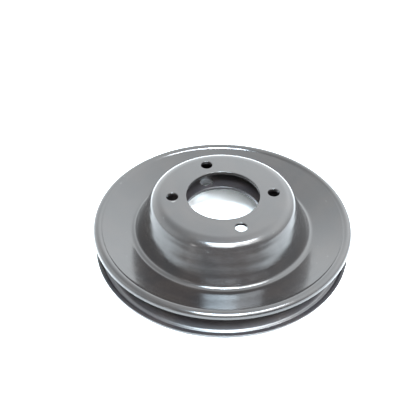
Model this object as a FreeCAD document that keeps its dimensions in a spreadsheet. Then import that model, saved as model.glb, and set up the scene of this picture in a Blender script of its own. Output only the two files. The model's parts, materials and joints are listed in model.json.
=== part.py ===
import FreeCAD, Part
import math
import os

import Sketcher

# V belt pulley pressed from two steel sheets and joined by a ring of spot welds.
# The frame is on the pulley's axis: +Z points out of the front hub face and z = 0
# is the plane the rear rim rests on. Lengths are in millimetres, angles in degrees.

os.makedirs("parts", exist_ok=True)
doc = FreeCAD.newDocument("v_belt_pulley")

# ---------------------------------------------------------------- driving sizes

SIZES = [
    # alias, value or formula, meaning
    ("sheet", "1.8", "thickness of both pressed sheets"),
    ("groove_angle", "17", "slope of each groove flank from the radial plane"),
    ("bend", "0.8", "inner radius of the tight bends"),
    ("outer_bend", "=bend + sheet", "outer radius of the tight bends"),
    ("front_rim_radius", "74", "outer radius of the front rim"),
    ("rear_rim_radius", "73.4", "outer radius of the rear rim"),
    ("rim_width", "19.8", "width over the crests of the two rim beads"),
    ("rim_mouth", "13.2", "gap between the two rim edges, where the belt goes in"),
    ("rim_roll", "1.2", "inner radius of the rim beads"),
    ("outer_rim_roll", "=rim_roll + sheet", "outer radius of the rim beads"),
    ("bead_width", "5.4", "from the rim back to the crease where its bead starts"),
    ("bead_corner", "4.35", "from the rim back to the inner corner of its bead"),
    ("bead_step", "1.15", "depth of the crease below the crest of the bead"),
    ("rim_crease", "0.7", "radius of the crease on the bead's outside"),
    ("outer_rim_crease", "=rim_crease + sheet", "radius of the crease on the other side"),
    ("front_crease_radius", "=front_rim_radius - bead_width", "crease of the front rim"),
    ("front_bead_radius", "=front_rim_radius - bead_corner", "bead corner of the front rim"),
    ("rear_crease_radius", "=rear_rim_radius - bead_width", "crease of the rear rim"),
    ("rear_bead_radius", "=rear_rim_radius - bead_corner", "bead corner of the rear rim"),
    ("edge_break", "0.28", "rounding of the cut rim edges"),
    # front sheet: hub face, dome, groove flank, beaded rim
    ("bore_radius", "20.6", "pilot bore of the hub face"),
    ("hub_height", "37.5", "height of the hub face"),
    ("dome_top_radius", "39", "radius of the dome at the hub face"),
    ("dome_foot_radius", "50.2", "radius of the dome where it meets the flank"),
    ("shoulder_bend", "5.2", "inner radius of the hub shoulder"),
    ("outer_shoulder", "=shoulder_bend + sheet", "outer radius of the hub shoulder"),
    ("foot_bend", "3", "upper radius of the bend at the dome's foot"),
    ("outer_foot_bend", "=foot_bend + sheet", "lower radius of the bend at the dome's foot"),
    ("front_crease_height", "=rim_width - bead_step", "crease of the front rim"),
    ("front_edge_height", "=(rim_width + rim_mouth) / 2", "cut edge of the front rim"),
    ("dome_foot_height", "=front_crease_height"
                         " - tan(groove_angle) * (front_crease_radius - dome_foot_radius)",
     "height where the dome meets the flank"),
    # rear sheet: inner hub plate, cup, web, joint cone, groove floor, flank, rim
    ("inner_bore_radius", "21.6", "bore of the inner hub plate"),
    ("inner_plate_height", "23.6", "underside of the inner hub plate"),
    ("cup_top_radius", "37", "inside radius of the cup at its plate"),
    ("cup_shoulder", "1.8", "inner radius of the cup's shoulder"),
    ("outer_cup_shoulder", "=cup_shoulder + sheet", "outer radius of the cup's shoulder"),
    ("cup_foot_radius", "43.5", "inside radius of the cup at its foot"),
    ("cup_foot_bend", "4", "outer side radius of the bend at the cup foot"),
    ("inner_cup_foot_bend", "=cup_foot_bend + sheet", "inner side radius of that bend"),
    ("web_height", "9.5", "underside of the flat web"),
    ("joint_drop", "=2 * sheet / cos(groove_angle)", "depth of the two sheets at the joint"),
    ("joint_start_radius", "=dome_foot_radius + (web_height + joint_drop - dome_foot_height)"
                           " / tan(groove_angle)", "inner end of the joint cone"),
    ("joint_end_radius", "58.6", "outer end of the joint cone"),
    ("joint_end_height", "=dome_foot_height - joint_drop"
                         " + tan(groove_angle) * (joint_end_radius - dome_foot_radius)",
     "underside of the joint cone at its outer end"),
    ("rear_crest_height", "0", "crest of the rear rim's bead"),
    ("rear_edge_height", "=(rim_width - rim_mouth) / 2", "cut edge of the rear rim"),
    ("floor_radius", "59", "inner side radius of the groove floor"),
    ("floor_height", "=bead_step + tan(groove_angle) * (rear_crease_radius - floor_radius)",
     "lower end of the groove floor"),
    # bolt holes: a rectangle in both hub plates
    ("bolt_spacing_long", "45.1", "bolt hole spacing along X"),
    ("bolt_spacing_short", "34.8", "bolt hole spacing along Y"),
    ("bolt_hole", "6.6", "bolt hole diameter in the hub face"),
    ("inner_bolt_hole", "8", "bolt hole diameter in the inner hub plate"),
    # spot welds
    ("weld_circle_radius", "55.2", "radius of the ring of welds"),
    ("weld_radius", "2.2", "radius of one weld nugget"),
    ("weld_depth", "1.8", "height of one weld nugget"),
    ("weld_base", "=dome_foot_height - joint_drop / 2 - weld_depth / 2"
                  " + tan(groove_angle) * (weld_circle_radius - dome_foot_radius)",
     "height of the underside of the nuggets"),
]
WELDS = 8

sheet = doc.addObject("Spreadsheet::Sheet", "Sizes")
for row, (alias, value, meaning) in enumerate(SIZES, start=1):
    sheet.set(f"A{row}", meaning)
    sheet.set(f"B{row}", value)
    sheet.setAlias(f"B{row}", alias)
doc.recompute()


def size(alias):
    """The present value of a named size."""
    return float(sheet.get(alias))


# -------------------------------------------------------------- drawing helpers

def origin_plane(body, role):
    """One of the body's own origin planes."""
    return next(item for item in body.Origin.OriginFeatures if item.Role == role)


def new_sketch(body, name, role):
    """An empty sketch lying on one of the body's origin planes."""
    sketch = body.newObject("Sketcher::SketchObject", name)
    sketch.AttachmentSupport = [(origin_plane(body, role), "")]
    sketch.MapMode = "FlatFace"
    return sketch


def drive(sketch, constraint, formula):
    """Adds a constraint whose value follows a formula over the named sizes."""
    index = sketch.addConstraint(constraint)
    sketch.setExpression(f"Constraints[{index}]", formula)


def offset_corners(corners, distance):
    """The corners of a line drawn to the left of a polyline at a fixed distance."""
    normals = []
    for (r0, z0), (r1, z1) in zip(corners, corners[1:]):
        length = math.hypot(r1 - r0, z1 - z0)
        normals.append(((z0 - z1) / length, (r1 - r0) / length))
    moved = []
    for index, (radius, height) in enumerate(corners):
        before = normals[max(index - 1, 0)]
        after = normals[min(index, len(normals) - 1)]
        scale = distance / (1 + before[0] * after[0] + before[1] * after[1])
        moved.append((radius + scale * (before[0] + after[0]),
                      height + scale * (before[1] + after[1])))
    return moved


def draw_sheet_profile(sketch, aliases, side):
    """Draws the section of a sheet of constant thickness.

    aliases names the radius and height of each corner on the driven face; side is
    1 when the other face lies to the left of it and -1 when it lies to the right.
    Returns the corners of the driven face and of the other face.
    """
    driven = [(size(radius), size(height)) for radius, height in aliases]
    other = offset_corners(driven, side * size("sheet"))
    loop = driven + other[::-1]
    for (r0, z0), (r1, z1) in zip(loop, loop[1:] + loop[:1]):
        start = FreeCAD.Vector(r0, z0, 0)
        end = FreeCAD.Vector(r1, z1, 0)
        sketch.addGeometry(Part.LineSegment(start, end), False)
    lines = len(loop)
    for index in range(lines):
        following = (index + 1) % lines
        sketch.addConstraint(Sketcher.Constraint("Coincident", index, 2, following, 1))
    for index, (radius, height) in enumerate(aliases):
        r_value, z_value = driven[index]
        drive(sketch, Sketcher.Constraint("DistanceX", -1, 1, index, 1, r_value), f"Sizes.{radius}")
        drive(sketch, Sketcher.Constraint("DistanceY", -1, 1, index, 1, z_value), f"Sizes.{height}")
    bends = len(aliases) - 1
    for index in range(bends):
        opposite = lines - 2 - index
        sketch.addConstraint(Sketcher.Constraint("Parallel", index, opposite))
        gap = Sketcher.Constraint("Distance", opposite, 1, index, size("sheet"))
        drive(sketch, gap, "Sizes.sheet")
    sketch.addConstraint(Sketcher.Constraint("Perpendicular", bends - 1, bends))
    sketch.addConstraint(Sketcher.Constraint("Perpendicular", 0, lines - 1))
    return driven, other


def revolve(body, sketch, name):
    """Turns a profile through a full circle about the pulley's axis."""
    turned = body.newObject("PartDesign::Revolution", name)
    turned.Profile = (sketch, [""])
    turned.ReferenceAxis = (sketch, ["V_Axis"])
    turned.Angle = 360
    doc.recompute()
    return turned


def ring_edges(shape, corners):
    """Names of the circular edges that pass through the given corners."""
    names = []
    for number, edge in enumerate(shape.Edges, start=1):
        if not isinstance(edge.Curve, Part.Circle):
            continue
        radius, height = edge.Curve.Radius, edge.Curve.Center.z
        if any(math.hypot(radius - r, height - z) < 0.01 for r, z in corners):
            names.append(f"Edge{number}")
    return names


def round_rings(body, name, corners, radius_alias):
    """Rounds the ring shaped edges at the given corners of the body's tip."""
    tip = body.Tip
    edges = ring_edges(tip.Shape, corners)
    if len(edges) != len(corners):
        raise ValueError(f"{name}: {len(edges)} edges for {len(corners)} corners")
    rounding = body.newObject("PartDesign::Fillet", name)
    rounding.Base = (tip, edges)
    rounding.setExpression("Radius", f"Sizes.{radius_alias}")
    doc.recompute()


def cut_bolt_holes(body, name, diameter_alias):
    """Cuts the rectangle of bolt holes right through the body."""
    sketch = new_sketch(body, f"{name}Sketch", "XY_Plane")
    x_half = size("bolt_spacing_long") / 2
    y_half = size("bolt_spacing_short") / 2
    signs = [(1, 1), (-1, 1), (-1, -1), (1, -1)]
    for index, (sign_x, sign_y) in enumerate(signs):
        centre = FreeCAD.Vector(sign_x * x_half, sign_y * y_half, 0)
        sketch.addGeometry(Part.Circle(centre, FreeCAD.Vector(0, 0, 1), size(diameter_alias) / 2), False)
        drive(sketch, Sketcher.Constraint("Diameter", index, size(diameter_alias)),
              f"Sizes.{diameter_alias}")
        drive(sketch, Sketcher.Constraint("DistanceX", -1, 1, index, 3, sign_x * x_half),
              f"{sign_x} * Sizes.bolt_spacing_long / 2")
        drive(sketch, Sketcher.Constraint("DistanceY", -1, 1, index, 3, sign_y * y_half),
              f"{sign_y} * Sizes.bolt_spacing_short / 2")
    cut = body.newObject("PartDesign::Pocket", name)
    cut.Profile = (sketch, [""])
    cut.Type = "ThroughAll"
    cut.Midplane = True
    doc.recompute()


def cut_weld_seats(body, name):
    """Cuts the seats of the weld nuggets out of one sheet."""
    sketch = new_sketch(body, f"{name}Sketch", "XY_Plane")
    sketch.setExpression("AttachmentOffset.Base.z", "Sizes.weld_base")
    centre = FreeCAD.Vector(size("weld_circle_radius"), 0, 0)
    sketch.addGeometry(Part.Circle(centre, FreeCAD.Vector(0, 0, 1), size("weld_radius")), False)
    drive(sketch, Sketcher.Constraint("Radius", 0, size("weld_radius")), "Sizes.weld_radius")
    drive(sketch, Sketcher.Constraint("DistanceX", -1, 1, 0, 3, centre.x), "Sizes.weld_circle_radius")
    sketch.addConstraint(Sketcher.Constraint("PointOnObject", 0, 3, -1))
    seat = body.newObject("PartDesign::Pocket", name)
    seat.Profile = (sketch, [""])
    seat.setExpression("Length", "Sizes.weld_depth")
    seat.Reversed = True
    doc.recompute()
    ring = body.newObject("PartDesign::PolarPattern", f"{name}Ring")
    ring.Originals = [seat]
    ring.Axis = (sketch, ["N_Axis"])
    ring.Angle = 360
    ring.Occurrences = WELDS
    body.Tip = ring
    doc.recompute()


# --------------------------------------------------- front sheet: hub and dome

front = doc.addObject("PartDesign::Body", "FrontSheet")
front.Label = "front_sheet"
front_profile = new_sketch(front, "FrontProfile", "XZ_Plane")
upper, lower = draw_sheet_profile(front_profile, [
    ("bore_radius", "hub_height"),
    ("dome_top_radius", "hub_height"),
    ("dome_foot_radius", "dome_foot_height"),
    ("front_crease_radius", "front_crease_height"),
    ("front_bead_radius", "rim_width"),
    ("front_rim_radius", "rim_width"),
    ("front_rim_radius", "front_edge_height"),
], -1)
BORE_EDGE, SHOULDER, FOOT, CREASE, BEAD, RIM, RIM_EDGE = range(7)
revolve(front, front_profile, "FrontRevolution")
round_rings(front, "ShoulderOutside", [upper[SHOULDER]], "outer_shoulder")
round_rings(front, "ShoulderInside", [lower[SHOULDER]], "shoulder_bend")
round_rings(front, "FootUpperSide", [upper[FOOT]], "foot_bend")
round_rings(front, "FootLowerSide", [lower[FOOT]], "outer_foot_bend")
round_rings(front, "CreaseUpperSide", [upper[CREASE]], "rim_crease")
round_rings(front, "CreaseLowerSide", [lower[CREASE]], "outer_rim_crease")
round_rings(front, "BeadOutside", [upper[BEAD], upper[RIM]], "outer_rim_roll")
round_rings(front, "BeadInside", [lower[BEAD], lower[RIM]], "rim_roll")
round_rings(front, "RimEdge", [upper[RIM_EDGE], lower[RIM_EDGE]], "edge_break")
cut_bolt_holes(front, "BoltHoles", "bolt_hole")
cut_weld_seats(front, "FrontWeldSeat")

# -------------------------------------------- rear sheet: inner cup and flange

rear = doc.addObject("PartDesign::Body", "RearSheet")
rear.Label = "rear_sheet"
rear_profile = new_sketch(rear, "RearProfile", "XZ_Plane")
under, over = draw_sheet_profile(rear_profile, [
    ("inner_bore_radius", "inner_plate_height"),
    ("cup_top_radius", "inner_plate_height"),
    ("cup_foot_radius", "web_height"),
    ("joint_start_radius", "web_height"),
    ("joint_end_radius", "joint_end_height"),
    ("floor_radius", "floor_height"),
    ("rear_crease_radius", "bead_step"),
    ("rear_bead_radius", "rear_crest_height"),
    ("rear_rim_radius", "rear_crest_height"),
    ("rear_rim_radius", "rear_edge_height"),
], 1)
(PLATE_EDGE, CUP_TOP, CUP_FOOT, JOINT_IN, JOINT_OUT, FLOOR,
 REAR_CREASE, REAR_BEAD, REAR_RIM, REAR_EDGE) = range(10)
revolve(rear, rear_profile, "RearRevolution")
round_rings(rear, "CupTopOutside", [over[CUP_TOP]], "outer_cup_shoulder")
round_rings(rear, "CupTopInside", [under[CUP_TOP]], "cup_shoulder")
round_rings(rear, "CupFootOutside", [over[CUP_FOOT]], "cup_foot_bend")
round_rings(rear, "CupFootInside", [under[CUP_FOOT]], "inner_cup_foot_bend")
round_rings(rear, "TightBendsInside", [over[JOINT_IN], under[JOINT_OUT], over[FLOOR]], "bend")
round_rings(rear, "TightBendsOutside", [under[JOINT_IN], over[JOINT_OUT], under[FLOOR]], "outer_bend")
round_rings(rear, "RearCreaseOutside", [under[REAR_CREASE]], "rim_crease")
round_rings(rear, "RearCreaseInside", [over[REAR_CREASE]], "outer_rim_crease")
round_rings(rear, "RearBeadOutside", [under[REAR_BEAD], under[REAR_RIM]], "outer_rim_roll")
round_rings(rear, "RearBeadInside", [over[REAR_BEAD], over[REAR_RIM]], "rim_roll")
round_rings(rear, "RearRimEdge", [under[REAR_EDGE], over[REAR_EDGE]], "edge_break")
cut_bolt_holes(rear, "InnerBoltHoles", "inner_bolt_hole")
cut_weld_seats(rear, "RearWeldSeat")

# ------------------------------------------------------------------ spot welds

nuggets = []
for number in range(WELDS):
    nugget = doc.addObject("Part::Cylinder", f"WeldNugget{number + 1}")
    turn = 360 / WELDS * number
    nugget.setExpression("Radius", "Sizes.weld_radius")
    nugget.setExpression("Height", "Sizes.weld_depth")
    nugget.setExpression("Placement.Base.x", f"Sizes.weld_circle_radius * cos({turn})")
    nugget.setExpression("Placement.Base.y", f"Sizes.weld_circle_radius * sin({turn})")
    nugget.setExpression("Placement.Base.z", "Sizes.weld_base")
    nuggets.append(nugget)
welds = doc.addObject("Part::Compound", "SpotWelds")
welds.Label = "spot_welds"
welds.Links = nuggets
doc.recompute()

# ---------------------------------------------------------------- write pieces

for item in doc.Objects:
    if "Invalid" in item.State or "Error" in item.State:
        raise ValueError(f"{item.Name} did not compute: {item.State}")

for piece in (front, rear, welds):
    shape = piece.Shape
    if shape.isNull() or not shape.isValid():
        raise ValueError(f"{piece.Label} has no valid shape")
    box = shape.BoundBox
    print(f"{piece.Label}: {len(shape.Solids)} solids, volume {shape.Volume:.1f} mm3, "
          f"z {box.ZMin:.3f} to {box.ZMax:.3f}, width {box.XLength:.3f} mm")
    shape.exportStep(f"parts/{piece.Label}.step")
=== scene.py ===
import json
import math

import bmesh
import bpy
from mathutils import Matrix, Vector


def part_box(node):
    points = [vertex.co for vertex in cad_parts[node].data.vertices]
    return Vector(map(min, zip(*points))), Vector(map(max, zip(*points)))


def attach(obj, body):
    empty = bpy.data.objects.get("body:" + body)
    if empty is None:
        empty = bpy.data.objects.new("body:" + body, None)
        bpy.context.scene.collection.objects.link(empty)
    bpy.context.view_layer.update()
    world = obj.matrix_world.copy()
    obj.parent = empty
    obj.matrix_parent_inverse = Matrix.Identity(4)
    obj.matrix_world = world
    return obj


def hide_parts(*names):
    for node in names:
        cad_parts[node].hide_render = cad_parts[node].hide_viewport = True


# A V belt pulley pressed from two painted steel sheets, in metres, standing on its
# rear rim with the hub face up. The frame is the CAD frame: the axis is Z and the
# floor is z = 0. Azimuths of lights are seen from the camera: 0 is on its side of
# the pulley and positive angles are to its right.

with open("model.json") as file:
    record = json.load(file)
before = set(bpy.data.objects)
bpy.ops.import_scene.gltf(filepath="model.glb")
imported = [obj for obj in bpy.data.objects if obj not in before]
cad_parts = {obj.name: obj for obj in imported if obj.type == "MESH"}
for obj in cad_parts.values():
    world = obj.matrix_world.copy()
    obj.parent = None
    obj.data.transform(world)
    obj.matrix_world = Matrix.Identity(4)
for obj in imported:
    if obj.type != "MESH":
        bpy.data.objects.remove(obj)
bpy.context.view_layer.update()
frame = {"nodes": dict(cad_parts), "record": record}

MM = 0.001

# ---------------------------------------------------------------- sizes from the frame

mounts = {mount["name"]: mount for mount in frame["record"]["mounts"]}
front_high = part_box("front_sheet")[1]
rear_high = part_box("rear_sheet")[1]
bolt_dims = mounts["fan_bolts"]["dims"]
inner_bolt_dims = mounts["hub_bolts"]["dims"]

SHEET = mounts["pilot_bore"]["dims"]["length_mm"] * MM
BORE_RADIUS = mounts["pilot_bore"]["dims"]["r_mm"] * MM
INNER_BORE_RADIUS = mounts["inner_bore"]["dims"]["r_mm"] * MM
BOLT_X = bolt_dims["spacing_x_mm"] * MM / 2
BOLT_Y = bolt_dims["spacing_y_mm"] * MM / 2
BOLT_HOLE_RADIUS = bolt_dims["hole_r_mm"] * MM
INNER_BOLT_HOLE_RADIUS = inner_bolt_dims["hole_r_mm"] * MM
FRONT_RIM_RADIUS = front_high.x
HUB_HEIGHT = front_high.z
REAR_RIM_RADIUS = rear_high.x
PLATE_TOP = rear_high.z
PLATE_HEIGHT = PLATE_TOP - SHEET

# --------------------------------------------------------------- sizes of the pressings

GROOVE_SLOPE = math.tan(math.radians(17))
RIM_WIDTH = 19.8 * MM
RIM_MOUTH = 13.2 * MM
RIM_ROLL = 1.2 * MM
RIM_CREASE = 0.7 * MM
BEAD_WIDTH = 5.4 * MM
BEAD_CORNER = 4.35 * MM
BEAD_STEP = 1.15 * MM
EDGE_BREAK = 0.28 * MM
BEND = 0.8 * MM
DOME_TOP_RADIUS = 39 * MM
DOME_FOOT_RADIUS = 50.2 * MM
SHOULDER_BEND = 5.2 * MM
FOOT_BEND = 3 * MM
CUP_TOP_RADIUS = 37 * MM
CUP_SHOULDER_BEND = 1.8 * MM
CUP_FOOT_RADIUS = 43.5 * MM
CUP_FOOT_BEND = 4 * MM
WEB_HEIGHT = 9.5 * MM
JOINT_END_RADIUS = 58.6 * MM
FLOOR_RADIUS = 59 * MM
PUNCH_ROLL = 0.35 * MM
PUNCH_BREAK = 0.12 * MM
PUNCH_OVER = 1 * MM

FRONT_EDGE_HEIGHT = (RIM_WIDTH + RIM_MOUTH) / 2
REAR_EDGE_HEIGHT = (RIM_WIDTH - RIM_MOUTH) / 2
FRONT_CREASE_RADIUS = FRONT_RIM_RADIUS - BEAD_WIDTH
REAR_CREASE_RADIUS = REAR_RIM_RADIUS - BEAD_WIDTH
DOME_FOOT_HEIGHT = (RIM_WIDTH - BEAD_STEP
                    - GROOVE_SLOPE * (FRONT_CREASE_RADIUS - DOME_FOOT_RADIUS))
JOINT_DROP = 2 * SHEET * math.hypot(1, GROOVE_SLOPE)
JOINT_START_RADIUS = DOME_FOOT_RADIUS + (WEB_HEIGHT + JOINT_DROP - DOME_FOOT_HEIGHT) / GROOVE_SLOPE
JOINT_END_HEIGHT = (DOME_FOOT_HEIGHT - JOINT_DROP
                    + GROOVE_SLOPE * (JOINT_END_RADIUS - DOME_FOOT_RADIUS))
FLOOR_HEIGHT = BEAD_STEP + GROOVE_SLOPE * (REAR_CREASE_RADIUS - FLOOR_RADIUS)

# Faint rings that the press left round the dome: height, half width and lift of each.
WALL_RINGS = [(32.4 * MM, 0.9 * MM, -0.02 * MM), (30.4 * MM, 1.0 * MM, 0.025 * MM),
              (24.5 * MM, 1.3 * MM, 0.03 * MM), (19 * MM, 1.2 * MM, 0.02 * MM)]
WELDS = 8
WELD_CIRCLE_RADIUS = 55.2 * MM
WELD_RADIUS = 2.2 * MM
WELD_DEPTH = 1.8 * MM
ELECTRODE_RADIUS = 3.2 * MM
ELECTRODE_DEPTH = 0.18 * MM

SEGMENTS = 300
HOLE_SEGMENTS = 64
ARC_STEP = math.radians(7.5)
LINE_STEP = 1.0 * MM
ROLL_STEPS = 6
CREASE_ANGLE = math.radians(40)


# ----------------------------------------------------------------------- sheet meshes

def offset_corners(corners, distance):
    """The corners of a line drawn to the left of a polyline at a fixed distance."""
    normals = [(b - a).orthogonal().normalized() for a, b in zip(corners, corners[1:])]
    moved = []
    for index, corner in enumerate(corners):
        before = normals[max(index - 1, 0)]
        after = normals[min(index, len(normals) - 1)]
        moved.append(corner + (before + after) * (distance / (1 + before.dot(after))))
    return moved


def corner_arc(before, corner, after, radius):
    """Points of the arc that rounds one corner of an outline."""
    to_before = (before - corner).normalized()
    to_after = (after - corner).normalized()
    half = to_before.angle(to_after) / 2
    reach = radius / math.tan(half)
    centre = corner + (to_before + to_after).normalized() * (radius / math.sin(half))
    start = corner + to_before * reach - centre
    turn = start.angle_signed(corner + to_after * reach - centre)
    steps = max(2, math.ceil(abs(turn) / ARC_STEP))
    points = []
    for step in range(steps + 1):
        angle = -turn * step / steps
        cos, sin = math.cos(angle), math.sin(angle)
        turned = Vector((start.x * cos - start.y * sin, start.x * sin + start.y * cos))
        points.append(centre + turned)
    return points


def rounded_outline(corners, radii):
    """A closed outline with every corner rounded and its straight parts divided."""
    rounded = []
    for index, (corner, radius) in enumerate(zip(corners, radii)):
        before = corners[index - 1]
        after = corners[(index + 1) % len(corners)]
        rounded.extend(corner_arc(before, corner, after, radius))
    outline = []
    for start, end in zip(rounded, rounded[1:] + rounded[:1]):
        parts = max(1, math.ceil((end - start).length / LINE_STEP))
        outline.extend(start.lerp(end, part / parts) for part in range(parts))
    return outline


def sheet_outline(corners, radii, other_radii, side):
    """The section of a sheet of constant thickness, from the corners of one face."""
    driven = [Vector(corner) for corner in corners]
    other = offset_corners(driven, side * SHEET)
    return rounded_outline(driven + other[::-1], list(radii) + list(other_radii)[::-1])


def pressed(outline):
    """The front sheet's outline with the faint rings that its press left in it."""
    wall = Vector((HUB_HEIGHT - DOME_FOOT_HEIGHT, DOME_FOOT_RADIUS - DOME_TOP_RADIUS)).normalized()
    marked = []
    for point in outline:
        shift = Vector((0, 0))
        if DOME_TOP_RADIUS < point.x < DOME_FOOT_RADIUS:
            for height, width, lift in WALL_RINGS:
                shift += wall * lift * math.exp(-((point.y - height) / width) ** 2)
        marked.append(point + shift)
    return marked


def lathe(name, outline):
    """A ring shaped mesh: an outline of radii and heights turned about the axis."""
    shape = bmesh.new()
    rings = []
    for segment in range(SEGMENTS):
        angle = 2 * math.pi * segment / SEGMENTS
        cos, sin = math.cos(angle), math.sin(angle)
        rings.append([shape.verts.new((p.x * cos, p.x * sin, p.y)) for p in outline])
    for ring, following in zip(rings, rings[1:] + rings[:1]):
        for index in range(len(outline)):
            last = (index + 1) % len(outline)
            shape.faces.new((ring[index], following[index], following[last], ring[last]))
    bmesh.ops.recalc_face_normals(shape, faces=shape.faces)
    mesh = bpy.data.meshes.new(name)
    shape.to_mesh(mesh)
    shape.free()
    piece = bpy.data.objects.new(name, mesh)
    bpy.context.scene.collection.objects.link(piece)
    return piece


def punch(radius, bottom, top):
    """A cutter for one punched hole, flared at both faces of the sheet."""
    flare = [(radius + PUNCH_BREAK, bottom - PUNCH_OVER)]
    for step in range(ROLL_STEPS + 1):
        angle = math.pi / 2 * step / ROLL_STEPS
        flare.append((radius + PUNCH_BREAK * (1 - math.sin(angle)),
                      bottom + PUNCH_BREAK * (1 - math.cos(angle))))
    for step in range(ROLL_STEPS + 1):
        angle = math.pi / 2 * step / ROLL_STEPS
        flare.append((radius + PUNCH_ROLL * (1 - math.cos(angle)),
                      top - PUNCH_ROLL * (1 - math.sin(angle))))
    flare.append((radius + PUNCH_ROLL, top + PUNCH_OVER))
    return flare


def cutter(name, flare, centres):
    """Flared plugs at several centres, as one mesh to cut with."""
    turns = [2 * math.pi * side / HOLE_SEGMENTS for side in range(HOLE_SEGMENTS)]
    shape = bmesh.new()
    for x, y in centres:
        rings = []
        for radius, height in flare:
            rings.append([shape.verts.new((x + radius * math.cos(turn),
                                           y + radius * math.sin(turn), height))
                          for turn in turns])
        for lower, upper in zip(rings, rings[1:]):
            for side in range(HOLE_SEGMENTS):
                last = (side + 1) % HOLE_SEGMENTS
                shape.faces.new((lower[side], lower[last], upper[last], upper[side]))
        shape.faces.new(rings[0][::-1])
        shape.faces.new(rings[-1])
    mesh = bpy.data.meshes.new(name)
    shape.to_mesh(mesh)
    shape.free()
    plug = bpy.data.objects.new(name, mesh)
    bpy.context.scene.collection.objects.link(plug)
    return plug


def cut(piece, plug):
    """Cuts a plug out of a piece for good, then removes the plug."""
    cutting = piece.modifiers.new("cut", "BOOLEAN")
    cutting.operation = "DIFFERENCE"
    cutting.solver = "EXACT"
    cutting.object = plug
    bpy.context.view_layer.update()
    seen = piece.evaluated_get(bpy.context.evaluated_depsgraph_get())
    done = bpy.data.meshes.new_from_object(seen)
    piece.modifiers.clear()
    piece.data = done
    done.name = piece.name
    bpy.data.objects.remove(plug)


def shade(piece):
    """Smooth shading, with a crease wherever two faces meet at a steep angle."""
    shape = bmesh.new()
    shape.from_mesh(piece.data)
    for face in shape.faces:
        face.smooth = True
    for edge in shape.edges:
        edge.smooth = len(edge.link_faces) == 2 and edge.calc_face_angle() < CREASE_ANGLE
    shape.to_mesh(piece.data)
    shape.free()


def dimple(piece):
    """Presses shallow electrode marks into the underside of the joint cone."""
    for vertex in piece.data.vertices:
        spot = min(WELD_CENTRES, key=lambda centre: math.dist(centre, vertex.co.xy))
        away = math.dist(spot, vertex.co.xy) / ELECTRODE_RADIUS
        under = JOINT_END_HEIGHT + (vertex.co.xy.length - JOINT_END_RADIUS) * GROOVE_SLOPE
        if away < 1 and vertex.co.z < under + SHEET / 2:
            vertex.co.z += ELECTRODE_DEPTH * (1 - away ** 2) ** 2


WELD_CENTRES = [(WELD_CIRCLE_RADIUS * math.cos(2 * math.pi * weld / WELDS),
                 WELD_CIRCLE_RADIUS * math.sin(2 * math.pi * weld / WELDS)) for weld in range(WELDS)]
WELD_BASE = (DOME_FOOT_HEIGHT - JOINT_DROP / 2 - WELD_DEPTH / 2
             + GROOVE_SLOPE * (WELD_CIRCLE_RADIUS - DOME_FOOT_RADIUS))
WELD_SEAT = [(WELD_RADIUS, WELD_BASE), (WELD_RADIUS, WELD_BASE + WELD_DEPTH)]
BOLT_CENTRES = [(x * BOLT_X, y * BOLT_Y) for x in (1, -1) for y in (1, -1)]


def front_sheet():
    """Hub face, dome, groove flank and beaded front rim."""
    outline = sheet_outline(
        [(BORE_RADIUS, HUB_HEIGHT), (DOME_TOP_RADIUS, HUB_HEIGHT),
         (DOME_FOOT_RADIUS, DOME_FOOT_HEIGHT), (FRONT_CREASE_RADIUS, RIM_WIDTH - BEAD_STEP),
         (FRONT_RIM_RADIUS - BEAD_CORNER, RIM_WIDTH), (FRONT_RIM_RADIUS, RIM_WIDTH),
         (FRONT_RIM_RADIUS, FRONT_EDGE_HEIGHT)],
        [PUNCH_ROLL, SHOULDER_BEND + SHEET, FOOT_BEND, RIM_CREASE, RIM_ROLL + SHEET,
         RIM_ROLL + SHEET, EDGE_BREAK],
        [PUNCH_BREAK, SHOULDER_BEND, FOOT_BEND + SHEET, RIM_CREASE + SHEET, RIM_ROLL,
         RIM_ROLL, EDGE_BREAK], -1)
    piece = lathe("front_pressing", pressed(outline))
    cut(piece, cutter("seats", WELD_SEAT, WELD_CENTRES))
    cut(piece, cutter("holes", punch(BOLT_HOLE_RADIUS, HUB_HEIGHT - SHEET, HUB_HEIGHT),
                      BOLT_CENTRES))
    shade(piece)
    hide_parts("front_sheet")
    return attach(piece, "root")


def rear_sheet():
    """Inner hub plate, cup, web, joint cone, groove floor, flank and beaded rear rim."""
    outline = sheet_outline(
        [(INNER_BORE_RADIUS, PLATE_HEIGHT), (CUP_TOP_RADIUS, PLATE_HEIGHT),
         (CUP_FOOT_RADIUS, WEB_HEIGHT), (JOINT_START_RADIUS, WEB_HEIGHT),
         (JOINT_END_RADIUS, JOINT_END_HEIGHT), (FLOOR_RADIUS, FLOOR_HEIGHT),
         (REAR_CREASE_RADIUS, BEAD_STEP), (REAR_RIM_RADIUS - BEAD_CORNER, 0),
         (REAR_RIM_RADIUS, 0), (REAR_RIM_RADIUS, REAR_EDGE_HEIGHT)],
        [PUNCH_BREAK, CUP_SHOULDER_BEND, CUP_FOOT_BEND + SHEET, BEND + SHEET, BEND,
         BEND + SHEET, RIM_CREASE, RIM_ROLL + SHEET, RIM_ROLL + SHEET, EDGE_BREAK],
        [PUNCH_ROLL, CUP_SHOULDER_BEND + SHEET, CUP_FOOT_BEND, BEND, BEND + SHEET,
         BEND, RIM_CREASE + SHEET, RIM_ROLL, RIM_ROLL, EDGE_BREAK], 1)
    piece = lathe("rear_pressing", outline)
    dimple(piece)
    cut(piece, cutter("seats", WELD_SEAT, WELD_CENTRES))
    cut(piece, cutter("holes", punch(INNER_BOLT_HOLE_RADIUS, PLATE_HEIGHT, PLATE_TOP),
                      BOLT_CENTRES))
    shade(piece)
    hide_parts("rear_sheet")
    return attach(piece, "root")


# -------------------------------------------------------------------------- materials

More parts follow.
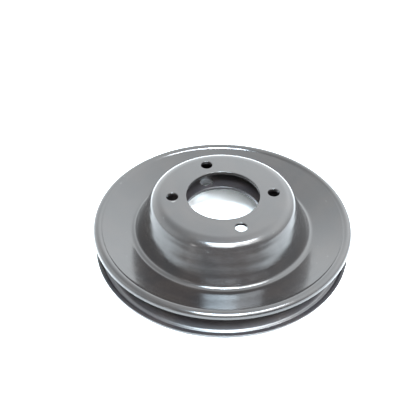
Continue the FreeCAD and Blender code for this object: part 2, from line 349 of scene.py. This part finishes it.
PAINT_IOR = 1.5
FRONT_BLACK = (0.0056, 0.005, 0.005, 1)
FRONT_FILM = (0.0072, 0.0058, 0.0054, 1)
# The rear pressing's two blacks are the paint's black lifted by painted light. They are lighter than
# the front's so that they stand in for light from the floor reflected in the groove and the rear
# rim.
REAR_BLACK_AND_PAINTED_LIGHT = (0.0095, 0.0085, 0.0092, 1)
REAR_FILM_AND_PAINTED_LIGHT = (0.013, 0.011, 0.0115, 1)
DUST_COLOUR = (0.11, 0.085, 0.065, 1)
WORN_COLOUR = (0.16, 0.15, 0.145, 1)
WORN_SHARE = 0.35
SPECK_COLOUR = (0.5, 0.5, 0.48, 1)
SPECK_SHARE = 0.45
SPECK_ROUGHNESS = 0.4
PATCH_ROUGHNESS = 0.025
RING_ROUGHNESS = 0.03

CLOUD_SIZE = 18 * MM
PATCH_SIZE = 5 * MM
WAVER_SIZE = 9 * MM
BROAD_RING_SIZE = 1.6 * MM
FINE_RING_SIZE = 0.45 * MM
PEEL_SIZE = 0.7 * MM
SPECK_SPACING = 3.2 * MM
SPECK_RADIUS = 0.13 * MM
SPECKLED_CELLS = 0.25
RING_SWING = 0.4 * MM
RING_CHANGE = 2 * MM

BROAD_RING_DEPTH = 0.003 * MM
FINE_RING_DEPTH = 0.0015 * MM
PEEL_DEPTH = 0.0018 * MM
SPECK_DEPTH = 0.03 * MM

STEEL = (0.45, 0.44, 0.43, 1)
HEATED_STEEL = (0.24, 0.2, 0.19, 1)
HEAT_SIZE = 1.5 * MM
GRAIN_SIZE = 0.2 * MM
GRAIN_DEPTH = 0.02 * MM


class Nodes:
    """A small builder of shader nodes."""

    def __init__(self, tree):
        self.nodes = tree.nodes
        self.links = tree.links

    def feed(self, socket, value):
        """Links an output to a socket, or sets the socket to a plain value."""
        if isinstance(value, bpy.types.NodeSocket):
            self.links.new(value, socket)
        else:
            socket.default_value = value

    def math(self, operation, first, second=0.0):
        node = self.nodes.new("ShaderNodeMath")
        node.operation = operation
        self.feed(node.inputs[0], first)
        self.feed(node.inputs[1], second)
        return node.outputs[0]

    def span(self, value, low, high, at_low=0.0, at_high=1.0):
        """Maps low..high onto at_low..at_high, smoothly and clamped."""
        node = self.nodes.new("ShaderNodeMapRange")
        node.interpolation_type = "SMOOTHSTEP"
        self.feed(node.inputs["Value"], value)
        for socket, number in zip(("From Min", "From Max", "To Min", "To Max"),
                                  (low, high, at_low, at_high)):
            node.inputs[socket].default_value = number
        return node.outputs["Result"]

    def mix(self, factor, first, second):
        node = self.nodes.new("ShaderNodeMix")
        node.data_type = "RGBA"
        self.feed(node.inputs["Factor"], factor)
        self.feed(node.inputs[6], first)
        self.feed(node.inputs[7], second)
        return node.outputs[2]


class Shading(Nodes):
    """A node material, with textures laid in the frame's own metres."""

    def __init__(self, name):
        self.material = bpy.data.materials.new(name)
        self.material.use_nodes = True
        super().__init__(self.material.node_tree)
        self.shader = self.nodes["Principled BSDF"]
        self.place = self.nodes.new("ShaderNodeTexCoord").outputs["Object"]

    def noise(self, size, detail=3.0, place=None):
        """Noise whose coarsest features are about size metres."""
        node = self.nodes.new("ShaderNodeTexNoise")
        node.inputs["Scale"].default_value = 1 / size
        node.inputs["Detail"].default_value = detail
        self.links.new(place or self.place, node.inputs["Vector"])
        return node.outputs["Fac"]

    def rings(self, waver):
        """Coordinates of radius and height, so that a texture runs round the axis."""
        parts = self.nodes.new("ShaderNodeSeparateXYZ")
        self.links.new(self.place, parts.inputs[0])
        x, y, z = parts.outputs
        radius = self.math("SQRT", self.math("ADD", self.math("MULTIPLY", x, x),
                                             self.math("MULTIPLY", y, y)))
        node = self.nodes.new("ShaderNodeCombineXYZ")
        swing = self.math("MULTIPLY", waver, RING_SWING)
        self.feed(node.inputs[0], self.math("ADD", radius, swing))
        self.feed(node.inputs[1], z)
        self.feed(node.inputs[2], self.math("MULTIPLY", waver, RING_CHANGE))
        return node.outputs[0]

    def specks(self, spacing, share, radius):
        """A mask of round specks: one in each cell for a share of the cells."""
        cells = self.nodes.new("ShaderNodeTexVoronoi")
        cells.inputs["Scale"].default_value = 1 / spacing
        self.links.new(self.place, cells.inputs["Vector"])
        chosen = self.nodes.new("ShaderNodeSeparateColor")
        self.links.new(cells.outputs["Color"], chosen.inputs[0])
        edge = radius / spacing
        near = self.span(cells.outputs["Distance"], edge * 0.6, edge, 1, 0)
        return self.math("MULTIPLY", near, self.math("GREATER_THAN", chosen.outputs[0], 1 - share))

    def bump(self, height, depth, normal=None):
        node = self.nodes.new("ShaderNodeBump")
        node.inputs["Distance"].default_value = depth
        self.feed(node.inputs["Height"], height)
        if normal:
            self.feed(node.inputs["Normal"], normal)
        return node.outputs[0]


def paint(name, black, film, dust, satin):
    """Black paint on pressed sheet: ring marks, orange peel, dust and worn edges."""
    look = Shading(name)
    cloud = look.noise(CLOUD_SIZE, 4)
    patchy = look.noise(PATCH_SIZE, 4)
    rings = look.rings(look.noise(WAVER_SIZE, 2))
    broad_rings = look.noise(BROAD_RING_SIZE, 2, rings)
    fine_rings = look.noise(FINE_RING_SIZE, 3, rings)
    peel = look.noise(PEEL_SIZE, 2)
    specks = look.specks(SPECK_SPACING, SPECKLED_CELLS, SPECK_RADIUS)

    edge = look.nodes.new("ShaderNodeNewGeometry").outputs["Pointiness"]
    worn = look.math("MULTIPLY", look.span(edge, 0.53, 0.6), look.span(patchy, 0.45, 0.75))
    dusty = look.math("MULTIPLY", look.span(cloud, 0.4, 0.75), look.span(fine_rings, 0.35, 0.7))
    colour = look.mix(look.span(cloud, 0.3, 0.7), black, film)
    colour = look.mix(look.math("MULTIPLY", dusty, dust), colour, DUST_COLOUR)
    colour = look.mix(look.math("MULTIPLY", worn, WORN_SHARE), colour, WORN_COLOUR)
    colour = look.mix(look.math("MULTIPLY", specks, SPECK_SHARE), colour, SPECK_COLOUR)
    look.feed(look.shader.inputs["Base Color"], colour)

    smooth = look.span(patchy, 0.3, 0.7, satin - PATCH_ROUGHNESS, satin + PATCH_ROUGHNESS)
    ringed = look.math("MULTIPLY", look.span(broad_rings, 0.35, 0.65), RING_ROUGHNESS)
    roughness = look.math("ADD", look.math("ADD", smooth, ringed),
                          look.math("MULTIPLY", specks, SPECK_ROUGHNESS))
    look.feed(look.shader.inputs["Roughness"], roughness)
    look.shader.inputs["IOR"].default_value = PAINT_IOR

    normal = look.bump(broad_rings, BROAD_RING_DEPTH)
    normal = look.bump(fine_rings, FINE_RING_DEPTH, normal)
    normal = look.bump(peel, PEEL_DEPTH, normal)
    look.feed(look.shader.inputs["Normal"], look.bump(specks, SPECK_DEPTH, normal))
    return look.material


def weld_metal(name):
    """Fused steel with a heat tint that changes over each nugget."""
    look = Shading(name)
    heat = look.noise(HEAT_SIZE, 4)
    grain = look.noise(GRAIN_SIZE, 3)
    colour = look.mix(look.span(heat, 0.35, 0.65), STEEL, HEATED_STEEL)
    look.feed(look.shader.inputs["Base Color"], colour)
    look.feed(look.shader.inputs["Roughness"], look.span(grain, 0.3, 0.7, 0.28, 0.5))
    look.shader.inputs["Metallic"].default_value = 1
    look.feed(look.shader.inputs["Normal"], look.bump(grain, GRAIN_DEPTH))
    return look.material


front = front_sheet()
rear = rear_sheet()
front.data.materials.append(paint("front_paint", FRONT_BLACK, FRONT_FILM, dust=0.03, satin=0.15))
# The rear pressing's lighter black is partly painted light: it stands in for floor light reflected
# in the groove and the rear rim.
rear.data.materials.append(paint("rear_paint", REAR_BLACK_AND_PAINTED_LIGHT, REAR_FILM_AND_PAINTED_LIGHT, dust=0.09, satin=0.3))
welds = frame["nodes"]["spot_welds"]
welds.data.materials.clear()
welds.data.materials.append(weld_metal("weld_metal"))

# ------------------------------------------------------------------------------ camera

VIEW_AZIMUTH = math.radians(32.89)
VIEW_ELEVATION = math.radians(40.8)
VIEW_ROLL = math.radians(0.72)
VIEW_DISTANCE = 456.6 * MM
VIEW_ANCHOR = Vector((0, 0, 16.8 * MM))
ANCHOR_RIGHT = 8.26 * MM
ANCHOR_UP = -8.16 * MM
LENS = 68.6
SENSOR_WIDTH = 36

view_right = Vector((math.cos(VIEW_AZIMUTH), math.sin(VIEW_AZIMUTH), 0))
view_front = Vector((math.sin(VIEW_AZIMUTH), -math.cos(VIEW_AZIMUTH), 0))
back = view_front * math.cos(VIEW_ELEVATION) + Vector((0, 0, math.sin(VIEW_ELEVATION)))
level_up = back.cross(view_right)
right = view_right * math.cos(VIEW_ROLL) + level_up * math.sin(VIEW_ROLL)
up = level_up * math.cos(VIEW_ROLL) - view_right * math.sin(VIEW_ROLL)

camera = bpy.data.objects.new("camera", bpy.data.cameras.new("camera"))
bpy.context.scene.collection.objects.link(camera)
camera.data.lens = LENS
camera.data.sensor_width = SENSOR_WIDTH
camera.data.clip_start = 0.01
place = VIEW_ANCHOR - right * ANCHOR_RIGHT - up * ANCHOR_UP + back * VIEW_DISTANCE
turn = Matrix((right, up, back)).transposed()
camera.matrix_world = Matrix.Translation(place) @ turn.to_4x4()
bpy.context.scene.camera = camera


# ------------------------------------------------------------------------------ studio

# Soft lights: name, azimuth, elevation, width and height in degrees, radiance, colour.
SOFTBOXES = [
    ("key_left", -1, 44, 28, 22, 24, (0.9, 0.97, 1)),
    ("key_middle", 26, 44, 26, 20, 13, (0.95, 0.98, 1)),
    ("key_right", 48, 44, 18, 20, 10, (1, 0.99, 0.97)),
    ("key_strip_left", -1, 58, 28, 7, 200, (0.72, 0.88, 1)),
    ("key_strip_right", 33, 58, 36, 6, 85, (0.85, 0.93, 1)),
    ("side_window", -40, 12, 6, 10, 7, (1, 1, 1)),
]
SOFTBOX_DISTANCE = 1.2

# Light of the room at its left and right side: elevation in degrees and radiance.
LEFT_LIGHT = [(0, 4.2), (24, 4.8), (36, 4.1), (50, 2.7), (68, 2.4), (90, 4.4)]
RIGHT_LIGHT = [(0, 3.0), (14, 4.2), (28, 6.2), (45, 7.0), (72, 6.2), (90, 4.4)]
ROOM_PEAK = 8
ROOM_TINT = (0.94, 0.99, 1.02, 1)
SIDE_REACH = 0.7
FRONT_REACH = 0.8
FRONT_DIM = 0.25

FLOOR_HALF = 3.0
FLOOR_COLOUR = (0.8, 0.8, 0.8, 1)
FLOOR_ROUGHNESS = 0.9


def softbox(name, azimuth, elevation, width, height, radiance, colour):
    """A rectangular soft light that faces the pulley; width and height are angles."""
    turn, rise = math.radians(azimuth), math.radians(elevation)
    level = view_front * math.cos(turn) + view_right * math.sin(turn)
    direction = level * math.cos(rise) + Vector((0, 0, math.sin(rise)))
    lamp = bpy.data.lights.new(name, "AREA")
    lamp.shape = "RECTANGLE"
    lamp.size = 2 * SOFTBOX_DISTANCE * math.tan(math.radians(width) / 2)
    lamp.size_y = 2 * SOFTBOX_DISTANCE * math.tan(math.radians(height) / 2)
    lamp.energy = radiance * math.pi * lamp.size * lamp.size_y
    lamp.color = colour
    light = bpy.data.objects.new(name, lamp)
    light.location = direction * SOFTBOX_DISTANCE
    light.rotation_mode = "QUATERNION"
    light.rotation_quaternion = direction.to_track_quat("Z", "Y")
    bpy.context.scene.collection.objects.link(light)


def floor():
    """A plain pale floor."""
    mesh = bpy.data.meshes.new("floor")
    corners = [(x * FLOOR_HALF, y * FLOOR_HALF, 0) for x, y in ((-1, -1), (1, -1), (1, 1), (-1, 1))]
    mesh.from_pydata(corners, [], [(0, 1, 2, 3)])
    plane = bpy.data.objects.new("floor", mesh)
    bpy.context.scene.collection.objects.link(plane)
    material = bpy.data.materials.new("floor")
    material.use_nodes = True
    shader = material.node_tree.nodes["Principled BSDF"]
    shader.inputs["Base Color"].default_value = FLOOR_COLOUR
    shader.inputs["Roughness"].default_value = FLOOR_ROUGHNESS
    mesh.materials.append(material)


def room():
    """A soft room: its light depends on height and side, and is weaker on the camera's side."""
    world = bpy.data.worlds.new("studio")
    world.use_nodes = True
    look = Nodes(world.node_tree)
    place = look.nodes.new("ShaderNodeTexCoord").outputs["Generated"]
    parts = look.nodes.new("ShaderNodeSeparateXYZ")
    look.feed(parts.inputs[0], place)

    def by_height(light):
        """Radiance, as a share of the peak, by elevation."""
        ramp = look.nodes.new("ShaderNodeValToRGB")
        stops = ramp.color_ramp.elements
        stops.remove(stops[1])
        for index, (elevation, radiance) in enumerate(light):
            position = math.sin(math.radians(elevation))
            stop = stops[0] if index == 0 else stops.new(position)
            stop.position = position
            stop.color = (radiance / ROOM_PEAK,) * 3 + (1,)
        look.feed(ramp.inputs[0], parts.outputs["Z"])
        return ramp.outputs["Color"]

    def along(direction):
        """How far the direction looked in points along another one."""
        dot = look.nodes.new("ShaderNodeVectorMath")
        dot.operation = "DOT_PRODUCT"
        dot.inputs[1].default_value = direction
        look.feed(dot.inputs[0], place)
        return dot.outputs["Value"]

    right_share = look.span(along(view_right), -SIDE_REACH, SIDE_REACH)
    sides = look.mix(right_share, by_height(LEFT_LIGHT), by_height(RIGHT_LIGHT))
    peak = look.span(along(view_front), 0, FRONT_REACH, ROOM_PEAK, ROOM_PEAK * FRONT_DIM)
    background = look.nodes["Background"]
    background.inputs["Color"].default_value = ROOM_TINT
    look.feed(background.inputs["Strength"], look.math("MULTIPLY", sides, peak))
    bpy.context.scene.world = world


floor()
room()
for box in SOFTBOXES:
    softbox(*box)
bpy.context.scene.view_settings.view_transform = "Standard"
